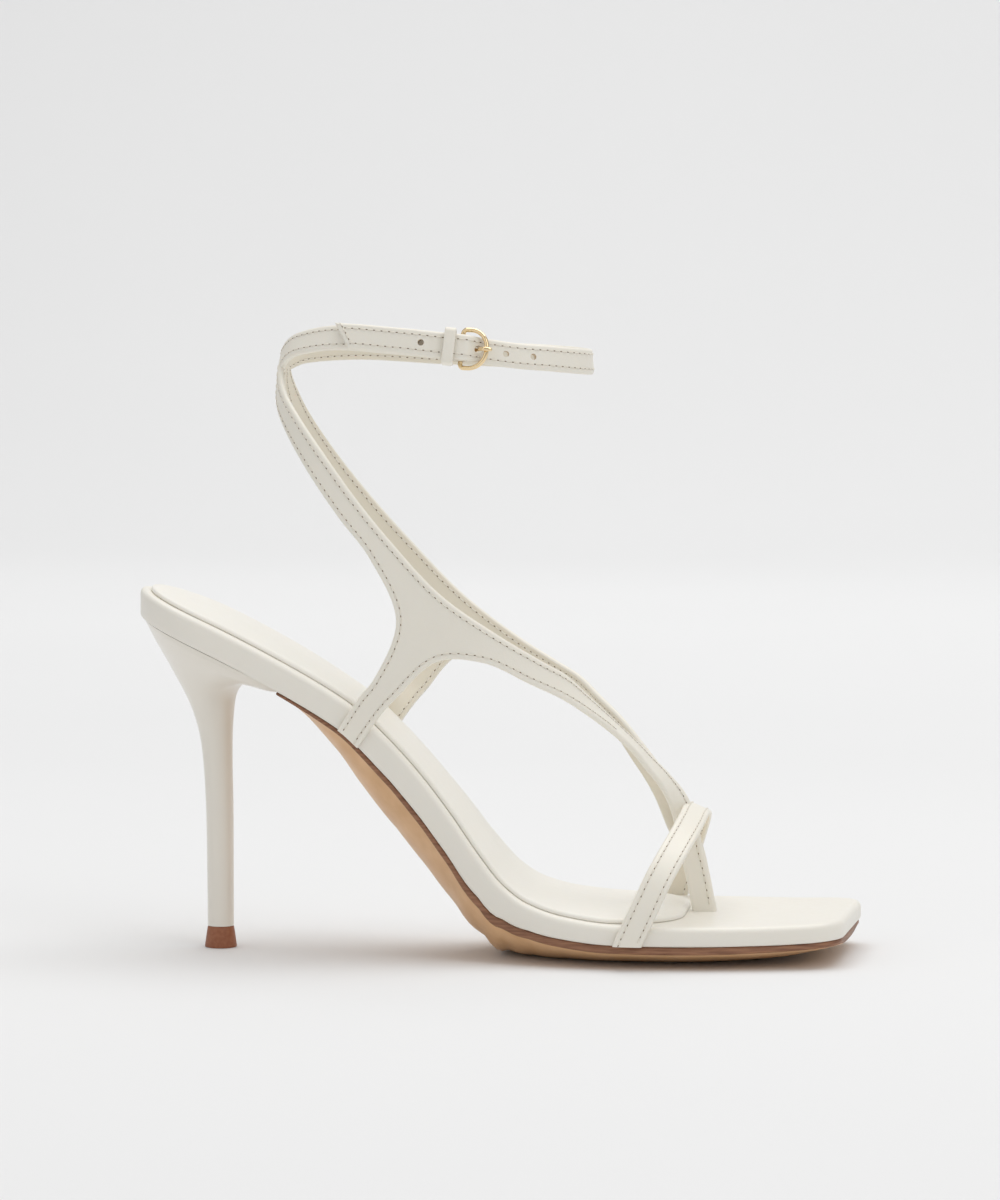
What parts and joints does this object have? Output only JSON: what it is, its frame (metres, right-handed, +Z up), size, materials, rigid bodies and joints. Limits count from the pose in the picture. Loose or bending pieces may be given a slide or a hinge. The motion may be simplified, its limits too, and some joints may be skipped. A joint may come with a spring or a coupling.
{
  "type": "strappy heeled sandal",
  "caption": "Women's high-heeled sandal with forked side straps, a thong, a toe strap and a buckled ankle strap over a slim stiletto heel.",
  "frame": {"origin": "middle of the heel tip's bottom face, on the floor", "axes": "+X toward the toe, +Y toward the inner side of the foot, -Y the outer side with the buckle, +Z up"},
  "size_m": [0.2186, 0.0833, 0.1914],
  "materials": {
    "outsole": "smooth tan sole leather with a brown edge",
    "platform": "ivory smooth leather",
    "insole": "padded ivory smooth leather",
    "heel": "ivory, covered and lacquered",
    "heel_tip": "matt reddish brown",
    "straps": "ivory smooth leather, stitched along its edges",
    "buckle": "polished pale gold",
    "keeper": "ivory smooth leather"
  },
  "bodies": {
    "root": {"outsole": "outsole", "platform": "platform", "insole": "insole", "heel": "heel", "heel_tip": "heel_tip", "upper": "straps", "buckle_frame": "buckle", "buckle_prong": "buckle", "keeper_loop": "keeper"}
  },
  "joints": []
}
